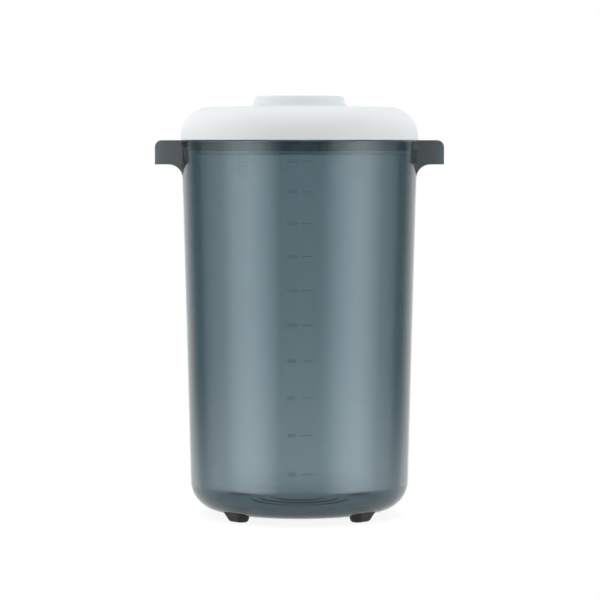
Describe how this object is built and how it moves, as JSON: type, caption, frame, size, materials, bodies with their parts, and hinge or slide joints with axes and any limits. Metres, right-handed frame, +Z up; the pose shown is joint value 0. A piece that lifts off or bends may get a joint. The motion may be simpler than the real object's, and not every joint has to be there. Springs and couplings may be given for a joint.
{
  "type": "yogurt maker",
  "caption": "Tall smoke-tinted yogurt maker jar with lifting lugs and soft feet, closed by a white domed lid that has a grip boss, an inner cover and a seal ring.",
  "frame": {"origin": "middle of the footprint, on the surface that the feet stand on", "axes": "+Z up along the jar's axis, X across the lugs, the front with the volume scale towards -Y"},
  "size_m": [0.1554, 0.1274, 0.2256],
  "materials": {
    "smoke_plastic": "clear smoke-tinted, polished",
    "foot_silicone": "soft satin",
    "white_plastic": "smooth semi-gloss",
    "seal_silicone": "soft satin"
  },
  "bodies": {
    "jar": {"jar": "smoke_plastic", "foot_back_right": "foot_silicone", "foot_back_left": "foot_silicone", "foot_front_left": "foot_silicone", "foot_front_right": "foot_silicone"},
    "lid": {"lid_shell": "white_plastic", "lid_cover": "white_plastic", "lid_seal": "seal_silicone"}
  },
  "joints": [
    {"name": "lid_lift", "type": "slide", "parent": "jar", "child": "lid", "axis": [0, 0, 1], "range_m": [0, 0.06]}
  ]
}
